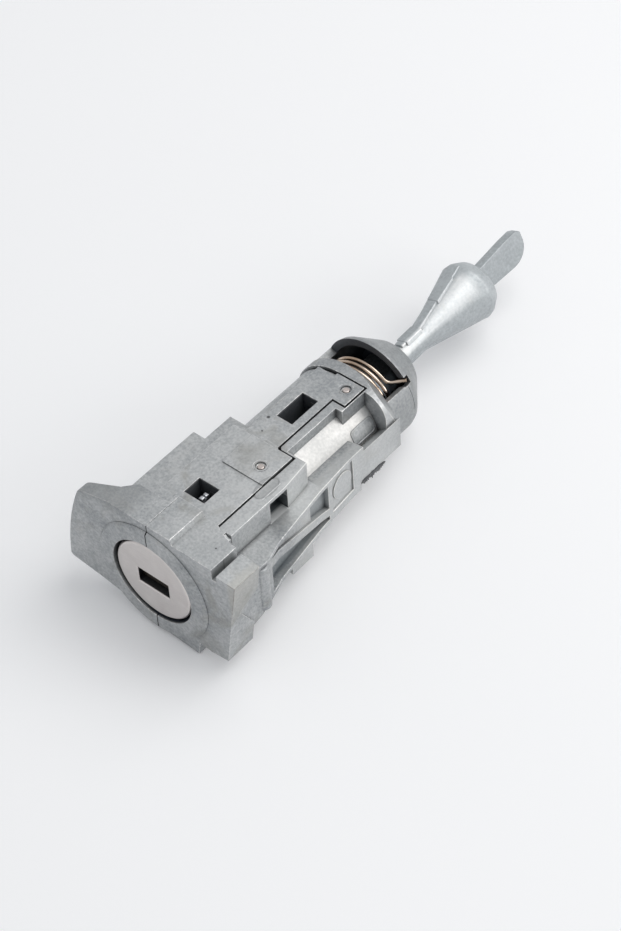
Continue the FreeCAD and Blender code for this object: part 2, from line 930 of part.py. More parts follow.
def wafer(index):
    y = wafer_places()[index]
    side = wafer_side(index)
    half = wafer_thickness / 2
    plate = box(-wafer_half_width, wafer_half_width, y - half, y + half,
                -wafer_half_height, wafer_half_height)
    ear = box(-wafer_ear_width / 2, wafer_ear_width / 2, y - half, y + half,
              0, wafer_half_height + wafer_ear_height)
    window = box(-keyway_width / 2 + wafer_travel / 2, keyway_width / 2 - wafer_travel / 2,
                 y - over, y + over, -keyway_height / 2, keyway_height / 2)
    shape = cut(fuse([plate, ear]), [window])
    shape.translate(Vector(side * wafer_travel, 0, 0))
    return solid_of(shape)


def wafer_spring(index):
    """Small coil that pushes the wafer's ear; plain here, because nothing shows it."""
    y = wafer_places()[index]
    side = wafer_side(index)
    z = wafer_half_height + wafer_ear_height / 2
    near = side * (wafer_travel - wafer_ear_width / 2) - side * crimp_gap
    far = -side * (wafer_ear_width / 2 + wafer_spring_room) + side * crimp_gap
    low, high = sorted([near, far])
    return rod_x(wafer_spring_radius, low, high, y, z)


def plug_sleeve():
    tube = rod_y(sleeve_radius, sleeve_start, sleeve_end)
    tube = tube.cut(rod_y(plug_radius + bore_gap, 0, sleeve_end + over))
    reach = plug_radius + sleeve_groove_depth
    groove_half = wafer_half_height + sleeve_groove_gap
    groove = box(-reach, reach, sleeve_start + sleeve_groove_wall, sleeve_end + over,
                 -groove_half, groove_half)
    return solid_of(cut(tube, [groove]))


def sleeve_catch():
    """Foot in the near corner of the front window and a nib with a groove across its top."""
    bottom = main_bore_radius + catch_lift
    nib_end = catch_nib_start + catch_nib_length
    foot = box(catch_left, front_window_width / 2 - seat_gap, front_window_start + seat_gap, nib_end,
               bottom, bottom + catch_foot_height)
    nib = box(catch_left, catch_left + catch_nib_width, catch_nib_start, nib_end, bottom, catch_nib_top)
    rim = [e for e in nib.Edges if e.BoundBox.ZMin > catch_nib_top - edge_tolerance]
    nib = nib.makeFillet(catch_edge_round, rim)
    middle = catch_nib_start + catch_nib_length / 2
    groove = box(-far, far, middle - catch_groove_width / 2, middle + catch_groove_width / 2,
                 catch_nib_top - catch_groove_depth, far)
    return solid_of(cut(fuse([foot, nib]), [groove]))


def coupler():
    ring = rod_y(sleeve_radius, coupler_start, coupler_end)
    half = tang_width / 2 + coupler_slot_gap
    slot = box(-half, half, coupler_start - over, coupler_end + over,
               -tang_height / 2 - seat_gap, tang_height / 2 + seat_gap)
    return solid_of(ring.cut(slot))


def coupler_spring():
    start = coupler_end + crimp_gap
    end = driver_flange_start - crimp_gap
    return rod_y(coupler_spring_radius, start, end).cut(
        rod_y(coupler_spring_radius - coupler_spring_wall, start - over, end + over))


def front_leg_hole(y0, y1):
    start = spring_angle(0)
    leg = on_coil(start, y0) - coil_direction(start, 0) * spring_bend_radius
    return rod_y(spring_wire / 2 + spring_hole_gap, y0, y1, leg.x, leg.z)


def driver():
    tang = box(-tang_width / 2, tang_width / 2, driver_tang_start, driver_flange_start + over,
               -tang_height / 2, tang_height / 2)
    tang = tang.common(rod_y(plug_radius - tang_round_gap, driver_tang_start, driver_flange_start + over))
    body = fuse([
        tang,
        rod_y(sleeve_radius, driver_flange_start, driver_flange_end),
        rod_y(driver_neck_radius, driver_flange_end - over, anchor_start + over),
        rod_y(driver_anchor_radius, anchor_start, anchor_end),
        rod_y(driver_arbor_radius, anchor_end - over, spring_end + seat_gap),
        rod_y(driver_hub_radius, spring_end - over, hub_end),
    ])
    bore = rod_y(driver_bore_radius, hub_end - driver_bore_depth, hub_end + over)
    pin = rod_x(rod_pin_radius, -driver_hub_radius - over, driver_hub_radius + over, rod_pin_y, 0)
    return solid_of(cut(body, [bore, pin, front_leg_hole(anchor_start - over, anchor_end + over)]))


def spring_angle(turn):
    """Angle from the top, toward +X, at which a given part of the coil stands."""
    end = leg_slot_angle - spring_end_lag - bend_angle()
    return end + 360.0 * (turn - spring_quarter_turns / 4.0)


def bend_angle():
    """Angle that a leg's bend takes up along the coil's round."""
    return math.degrees(spring_bend_radius / spring_mean_radius)


def on_coil(angle, y):
    a = math.radians(angle)
    return Vector(spring_mean_radius * math.sin(a), y, spring_mean_radius * math.cos(a))


def coil_direction(angle, rise):
    a = math.radians(angle)
    direction = Vector(math.cos(a), rise, -math.sin(a))
    return direction.normalize()


def biarc(start, start_direction, end, end_direction):
    """Two arcs that join two points and keep both end directions."""
    chord = end - start
    both = start_direction + end_direction
    a = 2 * (1 - start_direction.dot(end_direction))
    b = 2 * chord.dot(both)
    c = -chord.dot(chord)
    reach = (-b + math.sqrt(b * b - 4 * a * c)) / (2 * a)
    first = start + start_direction * reach
    last = end - end_direction * reach
    middle = (first + last) * 0.5
    return [tangent_arc(start, first, middle), tangent_arc(middle, last, end)]


def tangent_arc(start, corner, end):
    """Arc from start to end, tangent there to the lines that meet in the corner."""
    half = (start + end) * 0.5
    to_corner = corner - half
    chord = (end - start).Length / 2
    height = to_corner.Length
    side = math.hypot(chord, height)
    sagitta = chord * (side - chord) / height
    return Part.Arc(start, half + to_corner.normalize() * sagitta, end).toShape()


def spring_path():
    rise = spring_pitch / (2 * math.pi * spring_mean_radius)
    edges = []
    stations = []
    for i in range(spring_quarter_turns + 1):
        angle = spring_angle(i / 4.0)
        y = spring_start + spring_pitch * i / 4.0
        stations.append((on_coil(angle, y), coil_direction(angle, rise)))
    first, first_direction = stations[0]
    last, last_direction = stations[-1]
    axial = Vector(0, 1, 0)
    corner = first - first_direction * spring_bend_radius
    leg_top = corner - axial * spring_bend_radius
    leg_end = leg_top - axial * spring_front_leg
    edges.append(Part.LineSegment(leg_end, leg_top).toShape())
    edges.append(tangent_arc(leg_top, corner, first))
    for (p, t), (q, u) in zip(stations[:-1], stations[1:]):
        edges.extend(biarc(p, t, q, u))
    corner = last + last_direction * spring_bend_radius
    a = math.radians(leg_slot_angle)
    leg_end = Vector(leg_end_radius * math.sin(a), notch_end + leg_end_in, leg_end_radius * math.cos(a))
    leg_top = corner + (leg_end - corner).normalize() * spring_bend_radius
    edges.append(tangent_arc(last, corner, leg_top))
    edges.append(Part.LineSegment(leg_top, leg_end).toShape())
    return Part.Wire(edges)


def return_spring():
    path = spring_path()
    start = path.Vertexes[0].Point
    ring = Part.Wire(Part.makeCircle(spring_wire / 2, start, Vector(0, 1, 0)))
    tube = path.makePipeShell([ring], True)
    print("return spring wire length %.2f, volume over section times length %.5f" % (
        path.Length, tube.Volume / (math.pi * (spring_wire / 2) ** 2 * path.Length)))
    print("return spring least gap between turns %.3f" % spring_least_gap(path))
    return solid_of(tube)


def spring_least_gap(path):
    """Least distance between wire surfaces of points at least half a turn apart."""
    points = path.discretize(Distance=spring_wire / 2)
    apart = int(math.pi * spring_mean_radius / (spring_wire / 2))
    least = min(points[i].distanceToPoint(points[j])
                for i in range(0, len(points), 2) for j in range(i + apart, len(points)))
    return least - spring_wire


def rod_pin():
    return rod_x(rod_pin_radius, -driver_hub_radius, driver_hub_radius, rod_pin_y, 0)


def tilted(shape):
    """Turns a shape built with its width along X to the tail blade's tilt."""
    shape.rotate(Vector(0, 0, 0), Vector(0, 1, 0), -blade_tilt)
    return shape


def cone_radius_at(y):
    share = (y - cone_start) / (cone_full - cone_start)
    return rod_radius + max(0.0, share) * (cone_radius - rod_radius)


def tail_web():
    """Flat web along the rod and cone, which goes on as the blade with its one large rounded corner."""
    half = web_thickness / 2
    outline = [
        (rod_radius + web_proud, web_start),
        (rod_radius + web_proud, cone_start),
        (cone_radius + web_proud, cone_full),
        (cone_end_radius + web_proud, cone_full + cone_rim),
        (blade_root_half_width, cone_end),
    ]
    mirrored = [(-x, y) for x, y in reversed(outline)]
    corner = []
    for i in range(blade_corner_steps + 1):
        angle = math.pi / 2 * i / blade_corner_steps
        corner.append((blade_half_width - blade_corner_width * (1 - math.cos(angle)),
                       blade_wide + (blade_end - blade_wide) * math.sin(angle)))
    small = [
        (-blade_half_width + blade_small_corner, blade_end),
        (-blade_half_width, blade_end - 2 * blade_small_corner),
        (-blade_half_width, blade_wide),
    ]
    return prism_z(outline + corner + small + mirrored, -half, half)


def tail_pads():
    """Two raised pads on the web's edge, one beside the rod and one beside the cone."""
    half = web_thickness / 2 + pad_extra_width
    proud = web_proud + pad_proud
    rod_pad = box(-rod_radius - proud, -1, rod_pad_start, rod_pad_start + rod_pad_length, -half, half)
    cone_pad_end = cone_pad_start + cone_pad_length
    cone_pad = prism_z([
        (-cone_radius_at(cone_pad_start) - proud, cone_pad_start),
        (-cone_radius_at(cone_pad_end) - proud, cone_pad_end),
        (-1, cone_pad_end),
        (-1, cone_pad_start),
    ], -half, half)
    return [rod_pad, cone_pad]


def tail_rod():
    """Rod, cone and blade; at rest it leans up on its pin by the play in the cup's hole."""
    body = turned([
        (0, rod_front),
        (rod_radius, rod_front),
        (rod_radius, cone_start),
        (cone_radius, cone_full),
        (cone_radius - cone_rim_draft, cone_full + cone_rim),
        (cone_end_radius + cone_end_chamfer, cone_end - cone_end_chamfer_length),
        (cone_end_radius, cone_end),
        (0, cone_end),
    ])
    pin_hole = rod_x(rod_pin_radius + rod_pin_gap, -rod_radius - over, rod_radius + over, rod_pin_y, 0)
    shape = fuse([body, tilted(tail_web())] + [tilted(p) for p in tail_pads()])
    shape = solid_of(cut(shape, [pin_hole]))
    shape.rotate(Vector(0, rod_pin_y, 0), Vector(1, 0, 0), rod_lean)
    return shape


def build():
    os.makedirs("parts", exist_ok=True)
    housing = whole_housing()
    save("housing_left", housing_left(housing))
    save("housing_right", housing_right(housing))
    save("housing_rivets", rivets())
    save("face_cap", face_cap())
    save("face_seal", face_seal())
    save("plug", plug())
    save("key_shutter", key_shutter())
    save("shutter_pin", shutter_pin())
    save("shutter_spring", shutter_spring())
    for index in range(wafer_count):
        save("wafer_%d" % (index + 1), wafer(index))
        save("wafer_spring_%d" % (index + 1), wafer_spring(index))
    save("plug_sleeve", plug_sleeve())
    save("sleeve_catch", sleeve_catch())
    save("coupler", coupler())
    save("coupler_spring", coupler_spring())
    save("driver", driver())
    save("return_spring", return_spring())
    save("rod_pin", rod_pin())
    save("tail_rod", tail_rod())


build()
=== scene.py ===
import json
import math

import bmesh
import bpy
from mathutils import Matrix, Vector
from mathutils.bvhtree import BVHTree
from mathutils.geometry import intersect_point_line
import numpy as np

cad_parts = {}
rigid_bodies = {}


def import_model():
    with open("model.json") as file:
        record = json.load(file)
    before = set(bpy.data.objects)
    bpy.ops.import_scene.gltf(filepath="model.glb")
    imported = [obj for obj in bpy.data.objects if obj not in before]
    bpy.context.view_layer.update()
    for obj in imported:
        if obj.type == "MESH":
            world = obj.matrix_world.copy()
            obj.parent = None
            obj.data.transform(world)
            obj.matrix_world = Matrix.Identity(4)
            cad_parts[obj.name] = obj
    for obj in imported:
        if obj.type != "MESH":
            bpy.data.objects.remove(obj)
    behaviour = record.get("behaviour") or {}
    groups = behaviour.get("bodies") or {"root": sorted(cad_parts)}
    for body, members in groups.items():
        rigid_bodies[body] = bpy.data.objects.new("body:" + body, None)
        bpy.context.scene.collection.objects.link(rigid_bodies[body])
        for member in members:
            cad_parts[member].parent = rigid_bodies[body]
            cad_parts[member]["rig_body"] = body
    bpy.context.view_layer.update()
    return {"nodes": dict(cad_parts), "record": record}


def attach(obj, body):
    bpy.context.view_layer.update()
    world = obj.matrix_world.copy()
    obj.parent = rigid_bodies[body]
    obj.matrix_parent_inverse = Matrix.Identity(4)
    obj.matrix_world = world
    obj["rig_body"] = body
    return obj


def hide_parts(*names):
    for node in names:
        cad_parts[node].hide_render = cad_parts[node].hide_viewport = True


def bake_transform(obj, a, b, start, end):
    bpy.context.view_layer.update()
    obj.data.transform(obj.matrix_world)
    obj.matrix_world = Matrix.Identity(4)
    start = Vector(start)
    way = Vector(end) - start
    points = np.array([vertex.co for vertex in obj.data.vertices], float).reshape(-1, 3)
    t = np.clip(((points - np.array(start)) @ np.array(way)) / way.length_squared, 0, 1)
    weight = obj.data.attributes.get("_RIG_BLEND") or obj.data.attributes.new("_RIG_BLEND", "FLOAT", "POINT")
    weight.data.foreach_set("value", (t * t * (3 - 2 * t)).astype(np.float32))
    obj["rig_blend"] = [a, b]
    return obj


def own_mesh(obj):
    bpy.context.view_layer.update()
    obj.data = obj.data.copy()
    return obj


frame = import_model()

MM = 0.001

# The photograph's viewpoint, worked out for a picture 621 wide and 931 high
CAMERA_AZIMUTH = math.radians(43.454)
CAMERA_ELEVATION = math.radians(47.156)
CAMERA_ROLL = math.radians(-4.455)
CAMERA_DISTANCE = 0.592
CAMERA_LENS = 97.05
CAMERA_NEAR, CAMERA_FAR = 0.01, 10

# How far the face cap's centre stands from the middle of the picture, in camera distances
CAP_RIGHT_OF_MIDDLE = -0.062752
CAP_ABOVE_MIDDLE = -0.046018

# The lock rests on the lower edge of its flange and on its keel, so the floor slopes in its frame
FLOOR_HEIGHT = -17.3 * MM
FLOOR_FALL_RIGHT = -0.0806
FLOOR_RISE_REAR = 0.045
FLOOR_TOUCH_Y = 9.1 * MM
FLOOR_REACH = 3.0
FLOOR_GLOW = 0.14
PAPER = ((0.3, (0.84, 0.84, 0.85)), (0.7, (0.86, 0.86, 0.87)))
PALE = (0.905, 0.905, 0.915)

# The even light from all round, and how much of the pale background metal reflects
FILL_COLOUR = (0.94, 0.97, 1.0)
FILL_STRENGTH = 0.5
REFLECTED_SHARE = 0.6

# Place, size, power and colour of each soft box, and the point that both face
SOFT_BOXES = {
    "high soft box": ((0.26, 0.36, 0.80), (0.8, 0.8), 4.1, (1.0, 0.99, 0.97)),
    "right soft box": ((0.70, 0.48, 0.30), (0.5, 0.3), 1.5, (1.0, 0.98, 0.96)),
}
LIT_POINT = Vector((0.0, 0.06, 0.0))

# Marks that the rounded edges carry for the casting skin: wear with a painted highlight, and dirt in the joint
EDGE_WEAR_AND_HIGHLIGHT = "edge_wear_and_highlight"
JOINT_DIRT = "joint_dirt"

# Tints laid over the casting skin; several of them are painted light and painted shade
STAIN_TINT = (0.98, 0.92, 0.82)
PIT_GREY = (0.12, 0.12, 0.125)
# Painted shade for corners and hollows
HOLLOW_PAINTED_SHADE = (0.05, 0.052, 0.055)
# Painted light on the rail and on the right of the top plates
PAINTED_LIGHT_GREY = (0.70, 0.71, 0.705)
# Painted highlight on the rail's edges
RAIL_EDGE_PAINTED_HIGHLIGHT = (0.80, 0.79, 0.76)
# Painted shade in the rail's pockets and on the strip pocket's end wall, and painted light on that pocket's
# floor
POCKET_PAINTED_SHADE = (0.19, 0.22, 0.24)
POCKET_WALL_PAINTED_SHADE = (0.06, 0.075, 0.085)
POCKET_FLOOR_PAINTED_LIGHT = (0.86, 0.87, 0.87)
# Painted shade on the flange's left wing and the cup
PAINTED_SHADE_GREY = (0.24, 0.25, 0.255)
JOINT_BLACK = (0.02, 0.02, 0.022)
# Painted reflection on the barrel in the side recess
BARREL_PAINTED_REFLECTION = ((0.4, (0.56, 0.56, 0.55)), (0.6, (0.68, 0.67, 0.655)))
CREAM = (0.43, 0.42, 0.385)
CREAM_EDGE_DARK = (0.13, 0.115, 0.10)
LAND_SHADE = (0.17, 0.175, 0.175)
CAST_PIT_BLACK = (0.05, 0.05, 0.052)
# Painted shade on the walls of the bores and windows
BORE_PAINTED_SHADE = (0.022, 0.028, 0.04)
# Painted shade on the rod's flanks
ROD_FLANK_PAINTED_SHADE = ((0.4, (0.36, 0.385, 0.40)), (0.6, (0.49, 0.52, 0.535)))
DRIVER_SHOULDER_LIGHT = (0.52, 0.58, 0.64)

# Dark, light and worn tone of the greased castings inside, dark for their grease and for painted shade
GREASED_AND_SHADED_ZINC = ((0.06, 0.065, 0.07), (0.13, 0.135, 0.14), (0.3, 0.3, 0.3))

# How much each pattern counts in the casting skin's tone
CLOUD_SHARE, MOTTLE_SHARE, GRAIN_SHARE = 0.36, 0.22, 0.42

# The places below are in millimetres in the frame's own directions

# The bore's edge and its softness at the front, middle and rear, and where it changes from one to the next
BORE_EDGE = (12.6, 11.6, 12.05)
BORE_SOFTNESS = (0.15, 1.3, 0.15)
BORE_FRONT_END, BORE_REAR_START = (9, 12), (66, 72)

# The cup narrows toward the rod from here on, and its inner end wall stands between these two
CUP_CONE_START, CUP_CONE_SLOPE = 82.1, 0.814
CUP_END_WALL = (81.3, 81.5)

# Radius and depth of the barrel's skin in the side recess
BARREL_SKIN, BARREL_SKIN_DEPTH = 13.32, 0.1

# Half width, start, end and top of the two windows in the top plates
WINDOWS = ((3.2, 16.45, 21.95, 15.0), (2.5, 49.05, 58.85, 14.2))

# One point of the rail's slanted face, and how much X it gains for each length of Y toward the front
RAIL_FACE_X, RAIL_FACE_Y, RAIL_FACE_SLOPE = 17.03, 41.4, 0.148

# Centre, half sizes and lowest Z of the ejector's land, and centre and size of each deep pit
EJECTOR_LAND = ((11.6, 29.0), (2.3, 4.0), 14.8)
CAST_PITS = (((-3.7, 47.4), 0.55), ((-1.9, 43.0), 0.3), ((20.4, 4.6), 0.5), ((16.5, 6.0), 0.3))
CAST_PITS_LOWEST = 13.9

# Where the tail rod starts, and how much it rises toward the rear
ROD_ROOT_Y, ROD_RISE = 88, 0.063

# Places, sizes and tops of the scene's own pieces
STRIP_TOP = 15.0
BARREL_RADIUS = 13.4
PAD_ANGLE, PAD_Y, PAD_LIFT = 65.2, 63.7, 0.05
RIVETS = {"front_rivet_rim": (6.1, 33.4, 15.35), "rear_rivet_rim": (5.3, 66.0, 14.2)}
RIVET_RECESS_RADIUS, RIM_WIDTH, WELL_WALL, WELL_DEPTH, RIM_LIFT = 1.83, 0.42, 0.1, 0.3, 0.015
COLUMN_RADIUS, COLUMN_HEIGHT, COLUMN_ROUNDING = 2.2, 14.5, 0.5
FLASH_X, FLASH_TOP, FLASH_THICK = 16.5, -4.4, 0.22
FLASH_MIDDLE_Y, FLASH_LENGTH = 61.6, 9.4
ROOT_SIZE, ROOT_FALL, ROOT_ROUNDING = (1.7, 2.0, 3.0), 0.9, 0.2
PATCH_SKIRT = 0.3

# From here on in metres and radians, as bmesh takes them
SAME_PLACE = 1e-6
FLAT_ANGLE = math.radians(0.3)
SMOOTH_ANGLE = math.radians(32.0)
ROUNDED_ANGLE = math.radians(50.0)
JOINT_LIFT, JOINT_STEP_BACK, JOINT_GAP = 0.01 * MM, 0.3 * MM, 0.45 * MM
JOINT_WIDTH, JOINT_OVERRUN = 0.22 * MM, 0.02
FRONT_SEAM_DEPTH = 0.4 * MM
BEND_STEPS = 8


def camera_axes():
    """Directions to the right, up and back towards the camera."""
    back = Vector((math.sin(CAMERA_AZIMUTH) * math.cos(CAMERA_ELEVATION),
                   -math.cos(CAMERA_AZIMUTH) * math.cos(CAMERA_ELEVATION),
                   math.sin(CAMERA_ELEVATION)))
    level = Vector((math.cos(CAMERA_AZIMUTH), math.sin(CAMERA_AZIMUTH), 0))
    upright = back.cross(level)
    right = level * math.cos(CAMERA_ROLL) + upright * math.sin(CAMERA_ROLL)
    up = upright * math.cos(CAMERA_ROLL) - level * math.sin(CAMERA_ROLL)
    return right, up, back


def place_camera():
    right, up, back = camera_axes()
    camera = bpy.data.objects.new("camera", bpy.data.cameras.new("camera"))
    camera.data.lens = CAMERA_LENS
    camera.data.clip_start = CAMERA_NEAR
    camera.data.clip_end = CAMERA_FAR
    turn = Matrix((right, up, back)).transposed().to_4x4()
    offset = back - right * CAP_RIGHT_OF_MIDDLE - up * CAP_ABOVE_MIDDLE
    camera.matrix_world = Matrix.Translation(offset * CAMERA_DISTANCE) @ turn
    bpy.context.scene.collection.objects.link(camera)
    bpy.context.scene.camera = camera


class Nodes:
    """A node tree that is filled one node at a time."""

    def __init__(self, tree):
        self.tree = tree
        tree.nodes.clear()

    def add(self, kind):
        return self.tree.nodes.new("ShaderNode" + kind)

    def link(self, source, target):
        self.tree.links.new(source, target)

    def put(self, target, value):
        """Joins an output to an input, or writes a number or a colour there."""
        if hasattr(value, "is_output"):
            self.link(value, target)
        elif isinstance(value, tuple):
            target.default_value = (*value, 1.0)
        else:
            target.default_value = value

    def math(self, kind, a, b=0.0, c=0.0):
        node = self.add("Math")
        node.operation = kind
        for socket, value in zip(node.inputs, (a, b, c)):
            self.put(socket, value)
        return node.outputs[0]

    def times(self, first, *others):
        for other in others:
            first = self.math("MULTIPLY", first, other)
        return first

    def plus(self, a, b):
        return self.math("ADD", a, b)

    def minus(self, a, b):
        return self.math("SUBTRACT", a, b)

    def larger(self, a, b):
        return self.math("MAXIMUM", a, b)

    def background(self, colour, strength):
        node = self.add("Background")
        self.put(node.inputs["Color"], colour)
        self.put(node.inputs["Strength"], strength)
        return node.outputs[0]


class Finish(Nodes):
    """A material, with the patterns and colours that it is mixed from."""

    def __init__(self, name):
        self.material = bpy.data.materials.new(name)
        self.material.use_nodes = True
        super().__init__(self.material.node_tree)
        self.shader = self.add("BsdfPrincipled")
        self.link(self.shader.outputs[0], self.add("OutputMaterial").inputs[0])
        self.place = self.add("TexCoord").outputs["Object"]

    def millimetres(self):
        """The three coordinates of a point, in millimetres."""
        scaled = self.add("VectorMath")
        scaled.operation = "SCALE"
        scaled.inputs["Scale"].default_value = 1 / MM
        self.link(self.place, scaled.inputs[0])
        split = self.add("SeparateXYZ")
        self.link(scaled.outputs[0], split.inputs[0])
        return split.outputs

    def stretched(self, scale):
        node = self.add("Mapping")
        node.inputs["Scale"].default_value = scale
        self.link(self.place, node.inputs["Vector"])
        return node.outputs[0]

    def noise(self, scale, detail=3.0, rough=0.55, bend=0.0, place=None):
        node = self.add("TexNoise")
        node.inputs["Scale"].default_value = scale
        node.inputs["Detail"].default_value = detail
        node.inputs["Roughness"].default_value = rough
        node.inputs["Distortion"].default_value = bend
        self.link(place or self.place, node.inputs["Vector"])
        return node.outputs["Fac"]

    def cells(self, scale):
        """Distance from the nearest of many scattered points."""
        node = self.add("TexVoronoi")
        node.inputs["Scale"].default_value = scale
        self.link(self.place, node.inputs["Vector"])
        return node.outputs["Distance"]

    def openness(self, reach):
        """1 on open surfaces and less in corners and hollows."""
        node = self.add("AmbientOcclusion")
        node.inputs["Distance"].default_value = reach
        node.samples = 6
        return node.outputs["AO"]

    def attribute(self, name):
        node = self.add("Attribute")
        node.attribute_name = name
        return node.outputs["Fac"]

    def range(self, value, low, high, to_low, to_high):
        """Goes evenly from one number to another while a value goes from low to high."""
        node = self.add("MapRange")
        self.put(node.inputs["Value"], value)
        for name, number in (("From Min", low), ("From Max", high), ("To Min", to_low), ("To Max", to_high)):
            node.inputs[name].default_value = number
        return node.outputs[0]

    def rising(self, value, low, high):
        return self.range(value, low, high, 0.0, 1.0)

    def falling(self, value, low, high):
        return self.range(value, low, high, 1.0, 0.0)

    def within(self, value, low, high, soft=0.1):
        """1 between two values, with a soft step outside each."""
        return self.times(self.rising(value, low - soft, low), self.falling(value, high, high + soft))

    def mix(self, share, a, b):
        node = self.add("Mix")
        node.data_type = "RGBA"
        self.put(node.inputs[0], share)
        self.put(node.inputs[6], a)
        self.put(node.inputs[7], b)
        return node.outputs[2]

    def shades(self, value, stops):
        """Colour ramp from (position, colour) pairs."""
        node = self.add("ValToRGB")
        ramp = node.color_ramp
        while len(ramp.elements) < len(stops):
            ramp.elements.new(0.5)
        for element, (position, colour) in zip(ramp.elements, stops):
            element.position = position
            element.color = (*colour, 1.0)
        self.link(value, node.inputs[0])
        return node.outputs[0]

    def relief(self, *layers):
        """Stacks bumps, each a pattern and its height in millimetres."""
        normal = None
        for pattern, height in layers:
            node = self.add("Bump")
            node.inputs["Strength"].default_value = 1.0
            node.inputs["Distance"].default_value = height * MM
            self.link(pattern, node.inputs["Height"])
            if normal:
                self.link(normal, node.inputs["Normal"])
            normal = node.outputs[0]
        self.link(normal, self.shader.inputs["Normal"])

    def set(self, **values):
        names = {"colour": "Base Color", "metal": "Metallic", "rough": "Roughness",
                 "shine": "Specular IOR Level", "glow_colour": "Emission Color", "glow": "Emission Strength"}
        for name, value in values.items():
            self.put(self.shader.inputs[names[name]], value)


def light_the_studio():
    """The camera, glass and partly metal see a pale room, and the object is lit by a softer one."""
    bpy.context.scene.view_settings.view_transform = "Standard"
    world = bpy.data.worlds.new("studio")
    bpy.context.scene.world = world
    world.use_nodes = True
    room = Nodes(world.node_tree)
    ray = room.add("LightPath").outputs
    direct = room.larger(ray["Is Camera Ray"], ray["Is Transmission Ray"])
    seen = room.math("MULTIPLY_ADD", ray["Is Glossy Ray"], REFLECTED_SHARE, direct)
    mix = room.add("MixShader")
    room.link(seen, mix.inputs[0])
    room.link(room.background(FILL_COLOUR, FILL_STRENGTH), mix.inputs[1])
    room.link(room.background(PALE, 1.0), mix.inputs[2])
    room.link(mix.outputs[0], room.add("OutputWorld").inputs[0])
    for name, setting in SOFT_BOXES.items():
        soft_lamp(name, *setting)


def soft_lamp(name, place, size, power, colour):
    """A soft box that faces the middle of the lock."""
    lamp = bpy.data.lights.new(name, "AREA")
    lamp.shape = "RECTANGLE"
    lamp.size, lamp.size_y = size
    lamp.energy = power
    lamp.color = colour
    holder = bpy.data.objects.new(name, lamp)
    facing = (LIT_POINT - Vector(place)).to_track_quat("-Z", "Y")
    holder.matrix_world = Matrix.Translation(Vector(place)) @ facing.to_matrix().to_4x4()
    bpy.context.scene.collection.objects.link(holder)


def floor_paper():
    f = Finish("floor_paper")
    ray = f.add("LightPath").outputs
    seen = f.larger(f.larger(ray["Is Camera Ray"], ray["Is Glossy Ray"]), ray["Is Transmission Ray"])
    f.set(colour=f.shades(f.noise(scale=3.0, detail=2.0), PAPER), rough=0.9, shine=0.0,
          glow_colour=PALE, glow=f.times(seen, FLOOR_GLOW))
    return f.material


def lay_floor():
    shape = bmesh.new()
    bmesh.ops.create_grid(shape, x_segments=8, y_segments=8, size=FLOOR_REACH)
    for v in shape.verts:
        v.co.z = FLOOR_HEIGHT + FLOOR_FALL_RIGHT * v.co.x + FLOOR_RISE_REAR * (v.co.y - FLOOR_TOUCH_Y)
    floor = bpy.data.objects.new("floor", bpy.data.meshes.new("floor"))
    shape.to_mesh(floor.data)
    shape.free()
    bpy.context.scene.collection.objects.link(floor)
    floor.data.materials.append(floor_paper())


